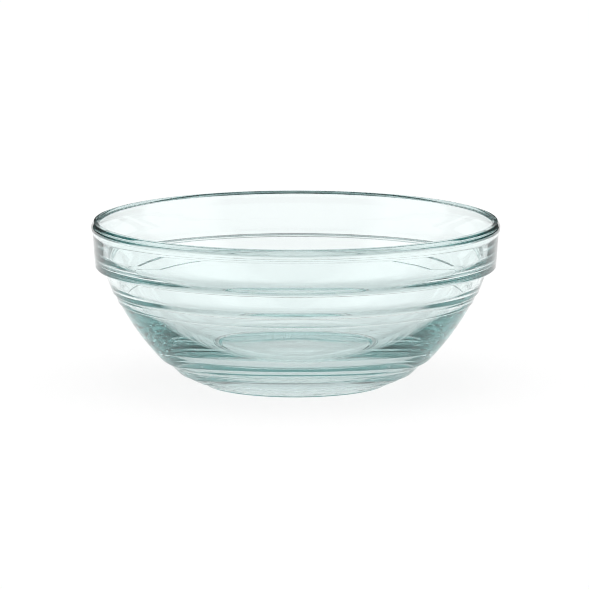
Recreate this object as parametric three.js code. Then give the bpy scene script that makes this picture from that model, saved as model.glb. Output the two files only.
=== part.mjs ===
// A stacking bowl of pressed clear glass, one body of revolution round +Z.
// Sizes are in millimetres. The origin is the middle of the ring that the bowl stands on.
import * as THREE from "three";

// Overall size
const RIM_RADIUS = 85.0; // to the bead of the lip, the widest point
const BOWL_HEIGHT = 68.5;

// Lip: a rounded bead that stands a little proud of the collar
const LIP_WIDTH = 2.4; // across the top of the lip
const LIP_LEAN = 1.2; // the top's outer edge lies this far inside the widest point
const LIP_SETBACK = 0.2; // the inner face under the lip lies this far inside the top's inner edge
const LIP_INSIDE_DEPTH = 3.2;
const BEAD_STAND_OUT = 0.6;
const BEAD_WIDEST_DEPTH = 2.4; // below the rim
const BEAD_RUN = 1.0; // upright run at the widest point
const BEAD_DEPTH = 5.1; // from the rim down to the plain collar

// Collar: the upright band under the lip, which ends in the ledge that a stacked bowl hangs by
const COLLAR_DEPTH = 19.7; // from the rim down to the ledge
const COLLAR_TAPER = 1.1;
const LEDGE_WIDTH = 3.3;

// Wall steps under the ledge
const UPPER_BAND_DEPTH = 10.0;
const UPPER_BAND_TAPER = 3.75;
const UPPER_STEP_WIDTH = 0.85;
const UPPER_STEP_DROP = 0.3;
const LOWER_BAND_DEPTH = 3.6;
const LOWER_BAND_TAPER = 1.35;
const LOWER_STEP_WIDTH = 0.55;
const LOWER_STEP_DROP = 0.2;

// Curved wall between the steps and the base
const WALL_BULGE = 1.0; // height of the wall's arc over its chord

// Base: stepped rings round the foot, each a steep riser and then a flatter tread, from the foot outwards
const FOOT_RADIUS = 38.0; // outer edge of the standing ring
const FOOT_RING_WIDTH = 2.2;
const BASE_RINGS = [
  { riserRun: 0.7, riserRise: 0.6, treadRun: 6.5, treadRise: 2.7 },
  { riserRun: 1.4, riserRise: 1.1, treadRun: 2.3, treadRise: 0.7 },
  { riserRun: 4.0, riserRise: 3.8, treadRun: 3.5, treadRise: 2.1 },
];

// Hollow under the foot
const RECESS_DEPTH = 0.9;
const RECESS_SLOPE_RUN = 1.5;

// Inside: soft shoulders behind the ledge and the upper step, then a round bowl that thickens to the heel.
// Each place is given from the outer corner that it lies behind: how far inside it and how far over it.
const SHOULDER_TOP = { inset: 0.5, rise: 4.8 }; // from the ledge's inner edge
const SHOULDER_FOOT = { inset: 2.8, rise: 1.4 };
const INNER_STEP_TOP = { inset: 1.95, rise: 4.0 }; // from the edge of the upper step
const INNER_STEP_FOOT = { inset: 3.95, rise: 1.2 };
const WALL_TOP_INSIDE = { inset: 3.3, rise: 1.2 }; // from the top of the curved wall
const WAIST_INSIDE = { inset: 9.8, rise: -8.3 };
const FLOOR_RADIUS = 36.5; // where the flat of the floor would meet the heel's slope
const FLOOR_THICKNESS = 3.1; // over the hollow under the foot

// Fillet radii
const RECESS_FILLET = 1.5;
const FOOT_FILLET = 0.65;
const RING_NECK_FILLET = 1.5;
const RING_EDGE_FILLET = 0.7;
const STEP_NECK_FILLET = 0.5;
const UPPER_STEP_FILLET = 0.9;
const LOWER_STEP_FILLET = 0.3;
const LEDGE_NECK_FILLET = 0.6;
const LEDGE_EDGE_FILLET = 1.0;
const BEAD_NECK_FILLET = 6.0;
const BEAD_FILLET = 2.0;
const LIP_OUTER_FILLET = 2.2;
const LIP_INNER_FILLET = 1.2;
const LIP_INSIDE_FILLET = 8.0;
const SHOULDER_TOP_FILLET = 16.0;
const SHOULDER_FOOT_FILLET = 6.0;
const INNER_STEP_TOP_FILLET = 15.0;
const INNER_STEP_FOOT_FILLET = 5.0;
const WALL_TOP_FILLET = 10.0;
const WAIST_FILLET = 75.0;
const FLOOR_FILLET = 66.0;

// Facets
const FACETS_ROUND = 64;
const ARC_TURN = THREE.MathUtils.degToRad(28); // most that an arc turns in one facet
const ARC_LENGTH = 5.0; // longest facet on an arc

// A corner of the outline: its radius from the axis, its height and the fillet that rounds it.
function corner(radius, height, fillet = 0) {
  return { at: new THREE.Vector2(radius, height), fillet };
}

// The corner where the tangents at the two ends of an arc meet, with the arc's own radius as its fillet.
function arcCorner(from, to, bulge) {
  const chord = to.clone().sub(from);
  const halfChord = chord.length() / 2;
  const arcRadius = (halfChord ** 2 + bulge ** 2) / (2 * bulge);
  const height = halfChord ** 2 / (arcRadius - bulge);
  const outward = new THREE.Vector2(chord.y, -chord.x).setLength(height);
  const at = from.clone().add(to).multiplyScalar(0.5).add(outward);
  return corner(at.x, at.y, arcRadius);
}

// How far the outline turns at a corner, and how far its fillet reaches along the two sides.
function bendAt(corners, index) {
  if (index === 0 || index === corners.length - 1) {
    return { turn: 0, reach: 0 };
  }
  const { at, fillet } = corners[index];
  const before = at.clone().sub(corners[index - 1].at);
  const after = corners[index + 1].at.clone().sub(at);
  const turn = Math.atan2(before.cross(after), before.dot(after));
  return { turn, reach: fillet * Math.tan(Math.abs(turn) / 2) };
}

// Rounds each corner with an arc tangent to both sides. Where two fillets need more than the side between
// them has, both are shortened to fit.
function filletOutline(corners) {
  const bends = corners.map((_, index) => bendAt(corners, index));
  const fitOnSide = (first, second) => {
    const room = corners[first].at.distanceTo(corners[second].at);
    return Math.min(1, room / (bends[first].reach + bends[second].reach));
  };
  return corners.flatMap(({ at }, index) => {
    const { turn, reach } = bends[index];
    if (reach === 0) {
      return [at];
    }
    const fittedReach = reach * Math.min(fitOnSide(index - 1, index), fitOnSide(index, index + 1));
    const arcRadius = fittedReach / Math.tan(Math.abs(turn) / 2);
    const heading = at.clone().sub(corners[index - 1].at).normalize();
    const start = at.clone().addScaledVector(heading, -fittedReach);
    const left = new THREE.Vector2(-heading.y, heading.x);
    const centre = start.clone().addScaledVector(left, Math.sign(turn) * arcRadius);
    const facets = Math.ceil(Math.abs(turn) * Math.max(1 / ARC_TURN, arcRadius / ARC_LENGTH));
    return Array.from({ length: facets + 1 }, (_, step) =>
      start.clone().rotateAround(centre, (turn * step) / facets));
  });
}

// Underside and foot, from the axis to the outer edge of the standing ring.
function footCorners() {
  const ringInside = FOOT_RADIUS - FOOT_RING_WIDTH;
  return [
    corner(0, RECESS_DEPTH),
    corner(ringInside - RECESS_SLOPE_RUN, RECESS_DEPTH, RECESS_FILLET),
    corner(ringInside, 0, FOOT_FILLET),
    corner(FOOT_RADIUS, 0, FOOT_FILLET),
  ];
}

// Base rings, from the standing ring to the outer edge of the base.
function baseRingCorners() {
  let radius = FOOT_RADIUS;
  let height = 0;
  return BASE_RINGS.flatMap((ring) => {
    radius += ring.riserRun;
    height += ring.riserRise;
    const neck = corner(radius, height, RING_NECK_FILLET);
    radius += ring.treadRun;
    height += ring.treadRise;
    return [neck, corner(radius, height, RING_EDGE_FILLET)];
  });
}

// Steps of the wall, the ledge and the outside of the collar, from the top of the curved wall up to the bead.
function upperCorners() {
  const collarRadius = RIM_RADIUS - BEAD_STAND_OUT;
  const ledgeOutside = collarRadius - COLLAR_TAPER;
  const ledgeInside = ledgeOutside - LEDGE_WIDTH;
  const upperEdge = ledgeInside - UPPER_BAND_TAPER;
  const upperNeck = upperEdge - UPPER_STEP_WIDTH;
  const lowerEdge = upperNeck - LOWER_BAND_TAPER;
  const lowerNeck = lowerEdge - LOWER_STEP_WIDTH;
  const ledgeHeight = BOWL_HEIGHT - COLLAR_DEPTH;
  const upperEdgeHeight = ledgeHeight - UPPER_BAND_DEPTH;
  const upperNeckHeight = upperEdgeHeight - UPPER_STEP_DROP;
  const lowerEdgeHeight = upperNeckHeight - LOWER_BAND_DEPTH;
  const lowerNeckHeight = lowerEdgeHeight - LOWER_STEP_DROP;
  return {
    wallTop: corner(lowerNeck, lowerNeckHeight, STEP_NECK_FILLET),
    lowerEdge: corner(lowerEdge, lowerEdgeHeight, LOWER_STEP_FILLET),
    upperNeck: corner(upperNeck, upperNeckHeight, STEP_NECK_FILLET),
    upperEdge: corner(upperEdge, upperEdgeHeight, UPPER_STEP_FILLET),
    ledgeInside: corner(ledgeInside, ledgeHeight, LEDGE_NECK_FILLET),
    ledgeOutside: corner(ledgeOutside, ledgeHeight, LEDGE_EDGE_FILLET),
    collarTop: corner(collarRadius, BOWL_HEIGHT - BEAD_DEPTH, BEAD_NECK_FILLET),
  };
}

// Lip, from the widest run of the bead over the top to the inner face.
function lipCorners() {
  const topOutside = RIM_RADIUS - LIP_LEAN;
  const topInside = topOutside - LIP_WIDTH;
  const beadTop = BOWL_HEIGHT - BEAD_WIDEST_DEPTH;
  return [
    corner(RIM_RADIUS, beadTop - BEAD_RUN, BEAD_FILLET),
    corner(RIM_RADIUS, beadTop, BEAD_FILLET),
    corner(topOutside, BOWL_HEIGHT, LIP_OUTER_FILLET),
    corner(topInside, BOWL_HEIGHT, LIP_INNER_FILLET),
    corner(topInside - LIP_SETBACK, BOWL_HEIGHT - LIP_INSIDE_DEPTH, LIP_INSIDE_FILLET),
  ];
}

// A corner of the inside, placed from the outer corner that it lies behind.
function behind(outerCorner, { inset, rise }, fillet) {
  return corner(outerCorner.at.x - inset, outerCorner.at.y + rise, fillet);
}

// Inside, from the shoulder behind the ledge down to the middle of the floor.
function insideCorners({ ledgeInside, upperEdge, wallTop }) {
  const floorHeight = RECESS_DEPTH + FLOOR_THICKNESS;
  return [
    behind(ledgeInside, SHOULDER_TOP, SHOULDER_TOP_FILLET),
    behind(ledgeInside, SHOULDER_FOOT, SHOULDER_FOOT_FILLET),
    behind(upperEdge, INNER_STEP_TOP, INNER_STEP_TOP_FILLET),
    behind(upperEdge, INNER_STEP_FOOT, INNER_STEP_FOOT_FILLET),
    behind(wallTop, WALL_TOP_INSIDE, WALL_TOP_FILLET),
    behind(wallTop, WAIST_INSIDE, WAIST_FILLET),
    corner(FLOOR_RADIUS, floorHeight, FLOOR_FILLET),
    corner(0, floorHeight),
  ];
}

// The whole section: out along the underside, up the outside, over the lip and down the inside to the axis.
function bowlOutline() {
  const rings = baseRingCorners();
  const upper = upperCorners();
  return filletOutline([
    ...footCorners(),
    ...rings,
    arcCorner(rings.at(-1).at, upper.wallTop.at, WALL_BULGE),
    ...Object.values(upper),
    ...lipCorners(),
    ...insideCorners(upper),
  ]);
}

// The section revolved. A lathe turns round Y, so the solid is tipped up to stand on Z.
function glassBowl() {
  const geometry = new THREE.LatheGeometry(bowlOutline(), FACETS_ROUND);
  geometry.rotateX(Math.PI / 2);
  const clearGlass = new THREE.MeshStandardMaterial({
    color: 0xdbeeea,
    roughness: 0.02,
    metalness: 0,
    transparent: true,
    opacity: 0.35,
  });
  const bowl = new THREE.Mesh(geometry, clearGlass);
  bowl.name = "glass_bowl";
  return bowl;
}

const part = new THREE.Group();
part.add(glassBowl());

export default part;
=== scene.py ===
"""Looks of a stacking bowl of pressed clear glass, laid out as an add-on and run as a script."""

import math

import bmesh
import bpy
from bpy.props import FloatProperty, FloatVectorProperty, IntProperty, PointerProperty
from mathutils import Matrix, Vector, noise


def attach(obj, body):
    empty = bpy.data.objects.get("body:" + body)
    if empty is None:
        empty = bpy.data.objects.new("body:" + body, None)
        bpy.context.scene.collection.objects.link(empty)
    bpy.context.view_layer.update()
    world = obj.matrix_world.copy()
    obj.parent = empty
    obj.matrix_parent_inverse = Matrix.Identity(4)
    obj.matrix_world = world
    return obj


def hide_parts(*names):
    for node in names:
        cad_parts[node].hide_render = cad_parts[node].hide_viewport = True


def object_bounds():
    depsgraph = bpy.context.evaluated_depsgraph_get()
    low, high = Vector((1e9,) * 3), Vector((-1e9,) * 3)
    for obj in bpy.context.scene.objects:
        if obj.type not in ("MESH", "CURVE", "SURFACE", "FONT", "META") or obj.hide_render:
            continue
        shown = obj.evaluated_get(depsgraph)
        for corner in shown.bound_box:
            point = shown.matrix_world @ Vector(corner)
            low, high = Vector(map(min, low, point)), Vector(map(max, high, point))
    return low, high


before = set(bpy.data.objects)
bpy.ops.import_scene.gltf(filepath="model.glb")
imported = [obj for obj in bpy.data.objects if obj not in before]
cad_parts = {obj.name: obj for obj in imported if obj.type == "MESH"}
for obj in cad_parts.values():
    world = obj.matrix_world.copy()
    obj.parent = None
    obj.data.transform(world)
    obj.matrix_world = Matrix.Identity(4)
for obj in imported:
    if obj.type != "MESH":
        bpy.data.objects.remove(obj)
CAD_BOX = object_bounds()

bl_info = {
    "name": "Pressed Glass Bowl",
    "version": (1, 0, 0),
    "blender": (4, 5, 0),
    "location": "3D View > Sidebar > Glass Bowl",
    "description": "Models a stacking bowl of pressed clear glass and the plain stage that it stands on",
    "category": "Add Mesh",
}

MM = 0.001
MERGE_DISTANCE = 0.001 * MM
BOWL_NODE = "glass_bowl"
BOWL_BODY = "root"
CAD_HIGH = CAD_BOX[1]

# The picture is square, and these places in it are in its own pixels
PICTURE_SIDE = 589
AXIS_COLUMN = 295.75
MIDDLE_ROW = 301.63
RIM_HALF_WIDTH = 204.3


def metres(label, about, value):
    """A length setting in metres."""
    return FloatProperty(name=label, description=about, default=value, unit="LENGTH", precision=5)


def length(label, about, millimetres):
    """A length setting, written in millimetres and kept in metres."""
    return metres(label, about, millimetres * MM)


def angle(label, about, degrees):
    """An angle setting, written in degrees and kept in radians."""
    return FloatProperty(name=label, description=about, default=math.radians(degrees), subtype="ANGLE")


def number(label, about, value, top=1.0, least=0.0):
    """A plain number setting between a least value and a top."""
    return FloatProperty(name=label, description=about, default=value, min=least, max=top)


def count(label, about, value, least):
    """A whole number setting, not under a least value."""
    return IntProperty(name=label, description=about, default=value, min=least)


def colour(label, about, value):
    """A linear colour setting."""
    return FloatVectorProperty(
        name=label, description=about, default=value, min=0.0, max=1.0, subtype="COLOR")


class BowlShape(bpy.types.PropertyGroup):
    """Sizes of the bowl's section and of its mesh."""

    rim_radius: metres("Rim radius", "To the bead of the lip, the widest point", CAD_HIGH.x)
    bowl_height: metres("Height", "From the standing ring to the top of the lip", CAD_HIGH.z)

    lip_width: length("Lip width", "Across the top of the lip", 1.3)
    lip_lean: length("Lip lean", "From the widest point in to the top's outer edge", 1.2)
    lip_fall: length("Lip fall", "How far the top of the lip falls to its outer edge", 0.3)
    lip_setback: length("Lip setback", "From the top's inner edge in to the face under it", 1.3)
    lip_inside_depth: length("Lip inside depth", "From the rim down to the collar's inner face", 3.2)
    bead_stand_out: length("Bead stand-out", "How far the bead stands out from the collar", 0.6)
    bead_widest_depth: length("Bead widest depth", "From the rim down to the widest point", 2.4)
    bead_run: length("Bead run", "Upright run at the widest point", 1.0)
    bead_depth: length("Bead depth", "From the rim down to the plain collar", 5.1)

    collar_depth: length("Collar depth", "From the rim down to the stacking ledge", 19.7)
    collar_taper: length("Collar taper", "How much narrower the collar is at the ledge", 1.1)
    ledge_width: length("Ledge width", "Across the underside of the collar", 3.3)

    upper_band_depth: length("Upper band depth", "From the ledge down to the upper step", 10.0)
    upper_band_taper: length("Upper band taper", "How much the upper band narrows", 3.75)
    upper_step_width: length("Upper step width", "Across the upper step", 0.85)
    upper_step_drop: length("Upper step drop", "Fall of the upper step", 0.3)
    lower_band_depth: length("Lower band depth", "From the upper step down to the lower one", 3.6)
    lower_band_taper: length("Lower band taper", "How much the lower band narrows", 1.35)
    lower_step_width: length("Lower step width", "Across the lower step", 0.55)
    lower_step_drop: length("Lower step drop", "Fall of the lower step", 0.2)

    wall_bulge: length("Wall bulge", "Height of the wall's arc over its chord", 1.0)

    foot_radius: length("Foot radius", "To the outer edge of the standing ring", 38.0)
    foot_ring_width: length("Standing ring width", "Across the flat that the bowl stands on", 2.2)
    recess_depth: length("Recess depth", "Depth of the hollow under the foot", 0.9)
    recess_slope_run: length("Recess slope", "Width of the slope round the hollow", 1.5)

    shoulder_top_inset: length("Shoulder top inset", "Inside, from the ledge's inner edge", 0.5)
    shoulder_top_rise: length("Shoulder top rise", "Inside, over the ledge", 4.8)
    shoulder_foot_inset: length("Shoulder foot inset", "Inside, from the ledge's inner edge", 2.8)
    shoulder_foot_rise: length("Shoulder foot rise", "Inside, over the ledge", 1.4)
    step_top_inset: length("Inner step top inset", "Inside, from the upper step's edge", 1.95)
    step_top_rise: length("Inner step top rise", "Inside, over the upper step", 4.0)
    step_foot_inset: length("Inner step foot inset", "Inside, from the upper step's edge", 3.95)
    step_foot_rise: length("Inner step foot rise", "Inside, over the upper step", 1.2)
    wall_top_inset: length("Wall top inset", "Inside, from the top of the curved wall", 3.3)
    wall_top_rise: length("Wall top rise", "Inside, over the top of the curved wall", 1.2)
    waist_inset: length("Waist inset", "Inside, from the top of the curved wall", 9.8)
    waist_rise: length("Waist rise", "Inside, over the top of the curved wall", -8.3)
    floor_radius: length("Floor radius", "Inside, to where the floor would meet the slope round it", 36.5)
    floor_thickness: length("Floor thickness", "Glass over the hollow under the foot", 3.1)

    mark_depth: length("Mark depth", "Depth of the uneven marks that the mould leaves on the heel", 0.3)
    mark_length: length("Mark length", "Length of those marks round the bowl", 6.0)
    mark_width: length("Mark width", "Width of those marks across the heel", 1.1)
    mark_cuts: count("Mark cuts", "Cuts across the heel that carry the marks", 14, 0)

    facets_round: count("Facets round", "Facets of the mesh round the bowl", 288, 12)
    arc_turn: angle("Arc step", "Most that an arc of the section turns in one facet", 7.5)
    arc_length: length("Arc facet", "Longest facet on an arc of the section", 1.8)


class BowlFillets(bpy.types.PropertyGroup):
    """Radii that round the corners of the section."""

    recess: length("Recess", "Edge of the hollow under the foot", 1.5)
    foot: length("Foot", "Both edges of the standing ring", 0.65)
    ring_neck: length("Ring neck", "Inner corners of the base rings", 1.5)
    ring_edge: length("Ring edge", "Outer corners of the base rings", 0.7)
    step_neck: length("Step neck", "Inner corners of the wall's steps", 0.5)
    upper_step: length("Upper step", "Outer corner of the upper step", 0.9)
    lower_step: length("Lower step", "Outer corner of the lower step", 0.3)
    ledge_neck: length("Ledge neck", "Inner corner of the ledge", 0.6)
    ledge_edge: length("Ledge edge", "Outer corner of the ledge", 1.0)
    bead_neck: length("Bead neck", "Where the collar flares into the bead", 6.0)
    bead: length("Bead", "Widest point of the bead", 2.0)
    lip_outer: length("Lip outside", "Outer edge of the lip's top", 0.5)
    lip_inner: length("Lip inside", "Inner edge of the lip's top", 0.25)
    lip_inside: length("Lip face", "Inner face under the lip", 8.0)
    shoulder_top: length("Shoulder top", "Inside, over the ledge", 16.0)
    shoulder_foot: length("Shoulder foot", "Inside, behind the ledge", 6.0)
    step_top: length("Inner step top", "Inside, over the upper step", 15.0)
    step_foot: length("Inner step foot", "Inside, behind the upper step", 5.0)
    wall_top: length("Wall top", "Inside, over the top of the curved wall", 10.0)
    waist: length("Waist", "Inside, behind the curved wall", 75.0)
    floor: length("Floor", "Inside, round the floor", 66.0)


class GlassFinish(bpy.types.PropertyGroup):
    """Look of the glass."""

    tint: colour("Tint", "Colour that thick glass takes", (0.32, 0.65, 0.64))
    tint_density: number("Tint density", "Absorption in a metre of glass", 15.0, top=100.0)
    face_tint: colour("Face tint", "Colour that each passage through a face gives", (0.945, 0.985, 0.982))
    refraction: number("Refractive index", "Of soda-lime glass", 1.52, top=3.0, least=1.0)
    polish_roughness: number("Polish", "Roughness of the fire-polished faces", 0.0)
    wear_roughness: number("Foot wear", "Roughness of the rubbed standing ring", 0.22)
    wear_height: length("Wear height", "How far up the standing ring is rubbed", 0.25)
    wave_height: length("Wave height", "Height of the waves that pressing leaves in the faces", 0.03)
    wave_size: length("Wave size", "Length of those waves", 14.0)


class StageLook(bpy.types.PropertyGroup):
    """Floor, light and camera."""

    floor_radius: metres("Floor radius", "Of the round floor", 8.0)
    floor_facets: count("Floor facets", "Facets of the floor's edge", 96, 3)
    floor_colour: colour("Floor colour", "Colour of the pale floor", (0.95, 0.95, 0.95))
    floor_white_seen: number("White seen", "Share of plain white that the camera sees in the floor", 0.85)
    floor_white_through: number("White through glass", "Share of plain white seen in the glass", 0.4)

    lamp_width: metres("Lamp width", "Of the soft lamp overhead", 1.6)
    lamp_height: metres("Lamp height", "Over the floor", 1.8)
    lamp_power: FloatProperty(name="Lamp power", description="Of the soft lamp", default=2.0, unit="POWER")

    horizon_low: angle("Horizon low", "Angle over the horizon up to which the room is as low down", 8.0)
    horizon_high: angle("Horizon high", "Angle over the horizon from which the room is as high up", 17.0)
    overhead_light: number("Overhead light", "Brightness overhead, for plain surfaces", 2.15, top=10.0)
    overhead_edge: angle("Overhead edge", "Angle over the horizon where that light begins", 37.0)
    overhead_full: angle("Overhead full", "Angle over the horizon where that light is full", 53.0)

    camera_distance: metres("Camera distance", "From the middle of the bowl", 2.836)
    camera_elevation: angle("Camera elevation", "Over the horizon", 9.19)
    middle_height: length("Middle height", "Of the point on the axis that the camera is fitted to", 33.8)
    light_bounces: count("Light bounces", "Passages and reflections of light in the glass", 32, 1)
    filter_width: number("Filter width", "Of each pixel, in pixels", 1.0, top=10.0, least=0.5)


# Section of the bowl


def corner(radius, height, fillet=0.0):
    """A corner of the section, in the X Z plane, and the fillet that rounds it."""
    return Vector((radius, 0.0, height)), fillet


def arc_corner(start, end, bulge):
    """The corner where the tangents at the ends of an arc meet, with the arc's radius as its fillet."""
    chord = end - start
    half_chord = chord.length / 2
    arc_radius = (half_chord**2 + bulge**2) / (2 * bulge)
    height = half_chord**2 / (arc_radius - bulge)
    outward = Vector((chord.z, 0.0, -chord.x)).normalized() * height
    return (start + end) / 2 + outward, arc_radius


def foot_corners(shape, fillets):
    """Underside and foot, from the axis to the outer edge of the standing ring."""
    ring_inside = shape.foot_radius - shape.foot_ring_width
    return [
        corner(0.0, shape.recess_depth),
        corner(ring_inside - shape.recess_slope_run, shape.recess_depth, fillets.recess),
        corner(ring_inside, 0.0, fillets.foot),
        corner(shape.foot_radius, 0.0, fillets.foot),
    ]


# Base rings from the foot outwards: run and rise of the riser, then of the tread, in millimetres
BASE_RINGS = (
    (0.7, 0.6, 6.5, 2.7),
    (1.4, 1.1, 2.3, 0.7),
    (4.0, 3.8, 3.5, 2.1),
)


def base_ring_corners(shape, fillets):
    """Base rings, from the standing ring to the outer edge of the base."""
    radius = shape.foot_radius
    height = 0.0
    corners = []
    for riser_run, riser_rise, tread_run, tread_rise in BASE_RINGS:
        radius += riser_run * MM
        height += riser_rise * MM
        corners.append(corner(radius, height, fillets.ring_neck))
        radius += tread_run * MM
        height += tread_rise * MM
        corners.append(corner(radius, height, fillets.ring_edge))
    return corners


def upper_corners(shape, fillets):
    """Steps of the wall, the ledge and the collar, from the top of the curved wall up to the bead."""
    collar_radius = shape.rim_radius - shape.bead_stand_out
    ledge_outside = collar_radius - shape.collar_taper
    ledge_inside = ledge_outside - shape.ledge_width
    upper_edge = ledge_inside - shape.upper_band_taper
    upper_neck = upper_edge - shape.upper_step_width
    lower_edge = upper_neck - shape.lower_band_taper
    lower_neck = lower_edge - shape.lower_step_width
    ledge_height = shape.bowl_height - shape.collar_depth
    upper_edge_height = ledge_height - shape.upper_band_depth
    upper_neck_height = upper_edge_height - shape.upper_step_drop
    lower_edge_height = upper_neck_height - shape.lower_band_depth
    lower_neck_height = lower_edge_height - shape.lower_step_drop
    return {
        "wall_top": corner(lower_neck, lower_neck_height, fillets.step_neck),
        "lower_edge": corner(lower_edge, lower_edge_height, fillets.lower_step),
        "upper_neck": corner(upper_neck, upper_neck_height, fillets.step_neck),
        "upper_edge": corner(upper_edge, upper_edge_height, fillets.upper_step),
        "ledge_inside": corner(ledge_inside, ledge_height, fillets.ledge_neck),
        "ledge_outside": corner(ledge_outside, ledge_height, fillets.ledge_edge),
        "collar_top": corner(collar_radius, shape.bowl_height - shape.bead_depth, fillets.bead_neck),
    }


def lip_corners(shape, fillets):
    """Lip, from the widest point of the bead over the top to the inner face."""
    top_outside = shape.rim_radius - shape.lip_lean
    top_inside = top_outside - shape.lip_width
    height = shape.bowl_height
    return [
        corner(shape.rim_radius, height - shape.bead_widest_depth - shape.bead_run, fillets.bead),
        corner(shape.rim_radius, height - shape.bead_widest_depth, fillets.bead),
        corner(top_outside, height - shape.lip_fall, fillets.lip_outer),
        corner(top_inside, height, fillets.lip_inner),
        corner(top_inside - shape.lip_setback, height - shape.lip_inside_depth, fillets.lip_inside),
    ]


def behind(outer_corner, inset, rise, fillet):
    """A corner of the inside, placed from the corner of the outside that it lies behind."""
    place = outer_corner[0]
    return corner(place.x - inset, place.z + rise, fillet)


def inside_corners(shape, fillets, upper):
    """Inside, from the shoulder behind the ledge down to the middle of the floor."""
    ledge = upper["ledge_inside"]
    step = upper["upper_edge"]
    wall = upper["wall_top"]
    floor_height = shape.recess_depth + shape.floor_thickness
    return [
        behind(ledge, shape.shoulder_top_inset, shape.shoulder_top_rise, fillets.shoulder_top),
        behind(ledge, shape.shoulder_foot_inset, shape.shoulder_foot_rise, fillets.shoulder_foot),
        behind(step, shape.step_top_inset, shape.step_top_rise, fillets.step_top),
        behind(step, shape.step_foot_inset, shape.step_foot_rise, fillets.step_foot),
        behind(wall, shape.wall_top_inset, shape.wall_top_rise, fillets.wall_top),
        behind(wall, shape.waist_inset, shape.waist_rise, fillets.waist),
        corner(shape.floor_radius, floor_height, fillets.floor),
        corner(0.0, floor_height),
    ]


def section_corners(shape, fillets):
    """All corners: out along the underside, up the outside, over the lip and down the inside to the axis."""
    rings = base_ring_corners(shape, fillets)
    upper = upper_corners(shape, fillets)
    return [
        *foot_corners(shape, fillets),
        *rings,
        arc_corner(rings[-1][0], upper["wall_top"][0], shape.wall_bulge),
        *upper.values(),
        *lip_corners(shape, fillets),
        *inside_corners(shape, fillets, upper),
    ]


# Drawing the section with operators


def turn_at(corners, index):
    """How far the section turns at a corner, and how far its fillet reaches along both sides."""
    if index in (0, len(corners) - 1):
        return 0.0, 0.0
    point, fillet = corners[index]
    before = point - corners[index - 1][0]
    after = corners[index + 1][0] - point
    turn = math.atan2(before.x * after.z - before.z * after.x, before.dot(after))
    return turn, fillet * math.tan(abs(turn) / 2)


def room_for(corners, bends, first, second):
    """The share of two neighbouring fillets that the side between them has room for."""
    needed = bends[first][1] + bends[second][1]
    room = (corners[second][0] - corners[first][0]).length
    return min(1.0, room / needed) if needed else 1.0


def draw_line(bm, tip, point):
    """Extrudes the section's last vertex in a straight line and gives the new last vertex."""
    moved = bmesh.ops.extrude_vert_indiv(bm, verts=[tip])["verts"][0]
    moved.co = point
    return moved


def draw_arc(bm, tip, centre, turn, facets):
    """Spins the section's last vertex round a centre and gives the new last vertex."""
    swept = bmesh.ops.spin(
        bm, geom=[tip], cent=centre, axis=(0.0, -1.0, 0.0), angle=turn, steps=facets, use_merge=False)
    return next(item for item in swept["geom_last"] if isinstance(item, bmesh.types.BMVert))


def draw_section(bm, shape, fillets):
    """Draws the whole section, with an arc at each corner that has a fillet."""
    corners = section_corners(shape, fillets)
    bends = [turn_at(corners, index) for index in range(len(corners))]
    tip = bm.verts.new(corners[0][0])
    for index in range(1, len(corners)):
        point = corners[index][0]
        turn, reach = bends[index]
        if reach == 0.0:
            tip = draw_line(bm, tip, point)
            continue
        fit = min(room_for(corners, bends, index - 1, index), room_for(corners, bends, index, index + 1))
        arc_radius = reach * fit / math.tan(abs(turn) / 2)
        heading = (point - corners[index - 1][0]).normalized()
        left = Vector((-heading.z, 0.0, heading.x))
        start = point - heading * reach * fit
        centre = start + left * math.copysign(arc_radius, turn)
        facets = math.ceil(abs(turn) * max(1 / shape.arc_turn, arc_radius / shape.arc_length))
        tip = draw_line(bm, tip, start)
        tip = draw_arc(bm, tip, centre, turn, facets)


def heel_band(shape, fillets):
    """Inner and outer corner of the heel, the tread of the first base ring."""
    neck, edge = base_ring_corners(shape, fillets)[:2]
    return neck[0], edge[0]


def cut_heel(bm, shape, fillets):
    """Cuts the section's line along the heel, so that it can carry the marks."""
    neck, edge = heel_band(shape, fillets)
    line = [
        side for side in bm.edges
        if all(neck.x < vert.co.x < edge.x and vert.co.z < edge.z for vert in side.verts)
    ]
    bmesh.ops.subdivide_edges(bm, edges=line, cuts=shape.mark_cuts)


def mark_heel(bm, shape, fillets):
    """Presses uneven marks into the heel, longest round the bowl and fading out at the heel's edges."""
    neck, edge = heel_band(shape, fillets)
    tread = (edge - neck).normalized()
    for vert in bm.verts:
        radius = math.hypot(vert.co.x, vert.co.y)
        across = (radius - neck.x) / (edge.x - neck.x)
        if not 0.0 < across < 1.0 or vert.co.z > edge.z:
            continue
        out = Vector((vert.co.x, vert.co.y, 0.0)) / radius
        round_place = out * (edge.x / shape.mark_length)
        place = Vector((round_place.x, round_place.y, radius / shape.mark_width))
        fade = math.sin(math.pi * across)
        depth = shape.mark_depth * fade * noise.noise(place)
        vert.co += (Vector((0.0, 0.0, tread.x)) - out * tread.z) * depth


# Materials, and the room that the glass shows


def add_node(tree, kind, place, **settings):
    """Adds a node at a place in the tree, with its own settings."""
    node = tree.nodes.new(kind)
    node.location = place
    for name, value in settings.items():
        setattr(node, name, value)
    return node


def tint_depth(tree, finish):
    """Tints the glass more, the further light goes through it."""
    tint = add_node(tree, "ShaderNodeVolumeAbsorption", (0, -500))
    tint.inputs["Color"].default_value = (*finish.tint, 1.0)
    tint.inputs["Density"].default_value = finish.tint_density
    tree.links.new(tint.outputs["Volume"], tree.nodes["Material Output"].inputs["Volume"])


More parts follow.
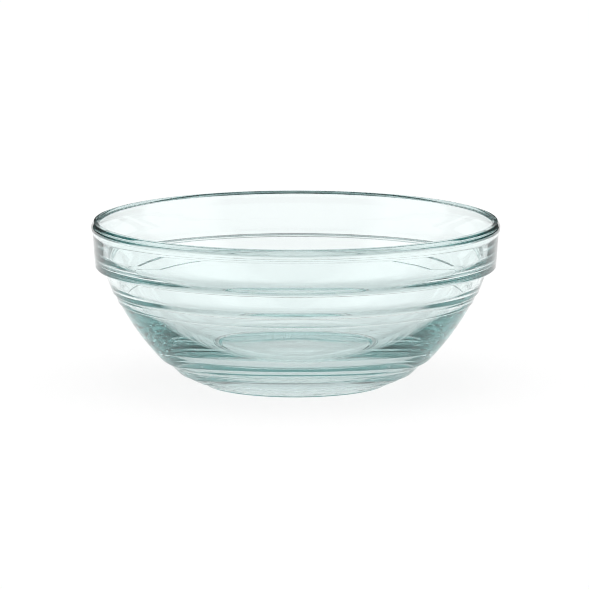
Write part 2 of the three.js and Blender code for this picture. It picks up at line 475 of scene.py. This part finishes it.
def rub_foot(tree, finish, place, glass):
    """Makes the flat of the standing ring rough, and leaves the rest polished."""
    height = add_node(tree, "ShaderNodeSeparateXYZ", (-900, 200))
    rubbed = add_node(tree, "ShaderNodeMapRange", (-700, 200), interpolation_type="SMOOTHSTEP")
    rubbed.inputs["From Min"].default_value = finish.wear_height
    rubbed.inputs["From Max"].default_value = 0.0
    rubbed.inputs["To Min"].default_value = finish.polish_roughness
    rubbed.inputs["To Max"].default_value = finish.wear_roughness
    tree.links.new(place.outputs["Object"], height.inputs["Vector"])
    tree.links.new(height.outputs["Z"], rubbed.inputs["Value"])
    tree.links.new(rubbed.outputs["Result"], glass.inputs["Roughness"])


def wave_faces(tree, finish, place, glass):
    """Gives the faces the slight waves that pressing leaves in them."""
    waves = add_node(tree, "ShaderNodeTexNoise", (-700, -200))
    waves.inputs["Scale"].default_value = 1.0 / finish.wave_size
    waves.inputs["Detail"].default_value = 1.0
    ripple = add_node(tree, "ShaderNodeBump", (-400, -200))
    ripple.inputs["Strength"].default_value = 1.0
    ripple.inputs["Distance"].default_value = finish.wave_height
    tree.links.new(place.outputs["Object"], waves.inputs["Vector"])
    tree.links.new(waves.outputs["Fac"], ripple.inputs["Height"])
    tree.links.new(ripple.outputs["Normal"], glass.inputs["Normal"])


def glass_material(finish):
    """Clear glass: tinted through its depth, wavy on its faces and rubbed on its standing ring."""
    material = bpy.data.materials.new("clear_pressed_glass")
    material.use_nodes = True
    tree = material.node_tree
    glass = tree.nodes["Principled BSDF"]
    glass.inputs["Base Color"].default_value = (*finish.face_tint, 1.0)
    glass.inputs["IOR"].default_value = finish.refraction
    glass.inputs["Transmission Weight"].default_value = 1.0
    place = add_node(tree, "ShaderNodeTexCoord", (-1100, 0))
    tint_depth(tree, finish)
    rub_foot(tree, finish, place, glass)
    wave_faces(tree, finish, place, glass)
    return material


def seen_share(tree, seen, through, place):
    """A number that is one value for camera rays, another for rays from glass or gloss, and 0 otherwise."""
    rays = add_node(tree, "ShaderNodeLightPath", place)
    bent = add_node(tree, "ShaderNodeMath", (place[0] + 200, place[1] - 150), operation="MAXIMUM")
    bent_share = add_node(tree, "ShaderNodeMath", (place[0] + 400, place[1] - 150), operation="MULTIPLY")
    bent_share.inputs[1].default_value = through
    both = add_node(tree, "ShaderNodeMath", (place[0] + 600, place[1]), operation="MULTIPLY_ADD")
    both.inputs[1].default_value = seen
    tree.links.new(rays.outputs["Is Glossy Ray"], bent.inputs[0])
    tree.links.new(rays.outputs["Is Transmission Ray"], bent.inputs[1])
    tree.links.new(bent.outputs["Value"], bent_share.inputs[0])
    tree.links.new(rays.outputs["Is Camera Ray"], both.inputs[0])
    tree.links.new(bent_share.outputs["Value"], both.inputs[2])
    return both.outputs["Value"]


def floor_material(look):
    """A pale floor that takes shadows, lifted towards plain white where it is seen."""
    material = bpy.data.materials.new("pale_floor")
    material.use_nodes = True
    tree = material.node_tree
    paint = tree.nodes["Principled BSDF"]
    paint.inputs["Base Color"].default_value = (*look.floor_colour, 1.0)
    paint.inputs["Roughness"].default_value = 1.0
    paint.inputs["Specular IOR Level"].default_value = 0.0
    white = add_node(tree, "ShaderNodeEmission", (0, -300))
    lifted = add_node(tree, "ShaderNodeMixShader", (300, 0))
    amount = seen_share(tree, look.floor_white_seen, look.floor_white_through, (-700, 300))
    tree.links.new(amount, lifted.inputs["Fac"])
    tree.links.new(paint.outputs["BSDF"], lifted.inputs[1])
    tree.links.new(white.outputs["Emission"], lifted.inputs[2])
    tree.links.new(lifted.outputs["Shader"], tree.nodes["Material Output"].inputs["Surface"])
    return material


# Brightness of the room, low down and high up, by the turn from straight behind the bowl.
# Each step is a share of a half turn, and the brightness there.
ROOM_HIGH = ((0.0, 1.0), (0.17, 1.0), (0.23, 0.05), (0.41, 0.05), (0.45, 1.0), (0.68, 1.0), (0.76, 0.0))
ROOM_LOW = ((0.0, 0.1), (0.41, 0.05), (0.45, 1.0), (0.68, 1.0), (0.76, 0.0))


def room_turn(tree, axes):
    """The turn of a direction from straight behind the bowl, as a share of a half turn."""
    across = add_node(tree, "ShaderNodeMath", (-900, 100), operation="ABSOLUTE")
    turn = add_node(tree, "ShaderNodeMath", (-700, 100), operation="ARCTAN2")
    half_turns = add_node(tree, "ShaderNodeMath", (-500, 100), operation="DIVIDE")
    half_turns.inputs[1].default_value = math.pi
    tree.links.new(axes.outputs["X"], across.inputs[0])
    tree.links.new(across.outputs["Value"], turn.inputs[0])
    tree.links.new(axes.outputs["Y"], turn.inputs[1])
    tree.links.new(turn.outputs["Value"], half_turns.inputs[0])
    return half_turns.outputs["Value"]


def room_ramp(tree, turn, steps, place):
    """The grey of the room at a turn, between the given steps."""
    node = add_node(tree, "ShaderNodeValToRGB", place)
    ramp = node.color_ramp
    while len(ramp.elements) < len(steps):
        ramp.elements.new(1.0)
    for element, (position, level) in zip(ramp.elements, steps):
        element.position = position
        element.color = (level, level, level, 1.0)
    tree.links.new(turn, node.inputs["Fac"])
    return node.outputs["Color"]


def rise(tree, axes, start, end, top, place):
    """A number that rises smoothly from 0 to a top, between two angles over the horizon."""
    node = add_node(tree, "ShaderNodeMapRange", place, interpolation_type="SMOOTHSTEP")
    node.inputs["From Min"].default_value = math.sin(start)
    node.inputs["From Max"].default_value = math.sin(end)
    node.inputs["To Max"].default_value = top
    tree.links.new(axes.outputs["Z"], node.inputs["Value"])
    return node.outputs["Result"]


def room_grey(tree, look, axes):
    """The grey of the room in each direction, from its steps low down to its steps high up."""
    turn = room_turn(tree, axes)
    upward = rise(tree, axes, look.horizon_low, look.horizon_high, 1.0, (-300, 600))
    mixed = add_node(tree, "ShaderNodeMixRGB", (0, 200))
    tree.links.new(upward, mixed.inputs["Fac"])
    tree.links.new(room_ramp(tree, turn, ROOM_LOW, (-300, 100)), mixed.inputs["Color1"])
    tree.links.new(room_ramp(tree, turn, ROOM_HIGH, (-300, 300)), mixed.inputs["Color2"])
    return mixed.outputs["Color"]


def room_world(look):
    """The room that the glass shows, and the light from overhead that falls on plain surfaces."""
    world = bpy.data.worlds.new("room")
    world.use_nodes = True
    tree = world.node_tree
    place = add_node(tree, "ShaderNodeTexCoord", (-1300, 0))
    axes = add_node(tree, "ShaderNodeSeparateXYZ", (-1100, 0))
    tree.links.new(place.outputs["Generated"], axes.inputs["Vector"])

    shown = tree.nodes["Background"]
    tree.links.new(room_grey(tree, look, axes), shown.inputs["Color"])

    light = add_node(tree, "ShaderNodeBackground", (0, -200))
    light.inputs["Color"].default_value = (1.0, 1.0, 1.0, 1.0)
    overhead = rise(tree, axes, look.overhead_edge, look.overhead_full, look.overhead_light, (-300, -200))
    tree.links.new(overhead, light.inputs["Strength"])

    # A ray has a diffuse depth once it has left a plain surface, and only then is it lit from overhead
    rays = add_node(tree, "ShaderNodeLightPath", (0, 400))
    either = add_node(tree, "ShaderNodeMixShader", (300, 0))
    tree.links.new(rays.outputs["Diffuse Depth"], either.inputs["Fac"])
    tree.links.new(shown.outputs["Background"], either.inputs[1])
    tree.links.new(light.outputs["Background"], either.inputs[2])
    tree.links.new(either.outputs["Shader"], tree.nodes["World Output"].inputs["Surface"])
    return world


# Operators


class BOWL_OT_glass_bowl(bpy.types.Operator):
    """Model the bowl: draw its section, spin it round the axis and give it clear glass"""

    bl_idname = "bowl.glass_bowl"
    bl_label = "Glass Bowl"

    def execute(self, context):
        shape = context.scene.bowl_shape
        fillets = context.scene.bowl_fillets
        bm = bmesh.new()
        draw_section(bm, shape, fillets)
        cut_heel(bm, shape, fillets)
        bmesh.ops.spin(
            bm, geom=bm.verts[:] + bm.edges[:], cent=(0.0, 0.0, 0.0), axis=(0.0, 0.0, 1.0),
            angle=math.tau, steps=shape.facets_round, use_merge=True)
        bmesh.ops.remove_doubles(bm, verts=bm.verts, dist=MERGE_DISTANCE)
        mark_heel(bm, shape, fillets)
        bmesh.ops.recalc_face_normals(bm, faces=bm.faces)
        for face in bm.faces:
            face.smooth = True
        mesh = bpy.data.meshes.new("glass_bowl_fine")
        bm.to_mesh(mesh)
        bm.free()
        mesh.materials.append(glass_material(context.scene.bowl_finish))
        bowl = bpy.data.objects.new("glass_bowl_fine", mesh)
        context.scene.collection.objects.link(bowl)
        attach(bowl, BOWL_BODY)
        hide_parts(BOWL_NODE)
        return {"FINISHED"}


def add_floor(scene, look):
    """A round pale floor under the bowl."""
    bm = bmesh.new()
    bmesh.ops.create_circle(bm, cap_ends=True, segments=look.floor_facets, radius=look.floor_radius)
    mesh = bpy.data.meshes.new("pale_floor")
    bm.to_mesh(mesh)
    bm.free()
    mesh.materials.append(floor_material(look))
    floor = bpy.data.objects.new("pale_floor", mesh)
    scene.collection.objects.link(floor)


def add_lamp(scene, look):
    """One wide soft lamp over the bowl."""
    light = bpy.data.lights.new("overhead_softbox", "AREA")
    light.shape = "DISK"
    light.size = look.lamp_width
    light.energy = look.lamp_power
    lamp = bpy.data.objects.new("overhead_softbox", light)
    lamp.location = (0.0, 0.0, look.lamp_height)
    lamp.visible_transmission = False
    lamp.visible_glossy = False
    scene.collection.objects.link(lamp)


def add_camera(scene, look):
    """A long lens at the picture's angle, with the bowl where the picture has it."""
    data = bpy.data.cameras.new("picture_camera")
    camera = bpy.data.objects.new("picture_camera", data)
    pixels_per_metre = RIM_HALF_WIDTH / scene.bowl_shape.rim_radius
    picture_width = PICTURE_SIDE / pixels_per_metre
    data.lens = data.sensor_width * look.camera_distance / picture_width
    tilt = Matrix.Rotation(math.pi / 2 - look.camera_elevation, 4, "X")
    right = (PICTURE_SIDE / 2 - AXIS_COLUMN) / pixels_per_metre
    up = (MIDDLE_ROW - PICTURE_SIDE / 2) / pixels_per_metre
    step_back = tilt @ Vector((right, up, look.camera_distance))
    camera.matrix_world = Matrix.Translation(Vector((0.0, 0.0, look.middle_height)) + step_back) @ tilt
    scene.collection.objects.link(camera)
    scene.camera = camera


class BOWL_OT_stage(bpy.types.Operator):
    """Set the stage: a pale floor, one soft lamp, the room and the camera"""

    bl_idname = "bowl.stage"
    bl_label = "Stage"

    def execute(self, context):
        scene = context.scene
        look = scene.bowl_stage
        add_floor(scene, look)
        add_lamp(scene, look)
        add_camera(scene, look)
        scene.world = room_world(look)
        scene.view_settings.view_transform = "Standard"
        scene.cycles.filter_width = look.filter_width
        scene.cycles.max_bounces = look.light_bounces
        scene.cycles.transmission_bounces = look.light_bounces
        scene.cycles.glossy_bounces = look.light_bounces
        return {"FINISHED"}


class BOWL_PT_panel(bpy.types.Panel):
    """Sizes and looks of the bowl"""

    bl_label = "Glass Bowl"
    bl_idname = "BOWL_PT_panel"
    bl_space_type = "VIEW_3D"
    bl_region_type = "UI"
    bl_category = "Glass Bowl"

    def draw(self, context):
        scene = context.scene
        for settings in (scene.bowl_shape, scene.bowl_fillets, scene.bowl_finish, scene.bowl_stage):
            box = self.layout.box()
            for name in settings.__annotations__:
                box.prop(settings, name)
        self.layout.operator(BOWL_OT_glass_bowl.bl_idname)
        self.layout.operator(BOWL_OT_stage.bl_idname)


CLASSES = (
    BowlShape,
    BowlFillets,
    GlassFinish,
    StageLook,
    BOWL_OT_glass_bowl,
    BOWL_OT_stage,
    BOWL_PT_panel,
)


def register():
    for cls in CLASSES:
        bpy.utils.register_class(cls)
    bpy.types.Scene.bowl_shape = PointerProperty(type=BowlShape)
    bpy.types.Scene.bowl_fillets = PointerProperty(type=BowlFillets)
    bpy.types.Scene.bowl_finish = PointerProperty(type=GlassFinish)
    bpy.types.Scene.bowl_stage = PointerProperty(type=StageLook)


def unregister():
    del bpy.types.Scene.bowl_stage
    del bpy.types.Scene.bowl_finish
    del bpy.types.Scene.bowl_fillets
    del bpy.types.Scene.bowl_shape
    for cls in reversed(CLASSES):
        bpy.utils.unregister_class(cls)


def main():
    register()
    bpy.ops.bowl.glass_bowl()
    bpy.ops.bowl.stage()


if __name__ == "__main__":
    main()
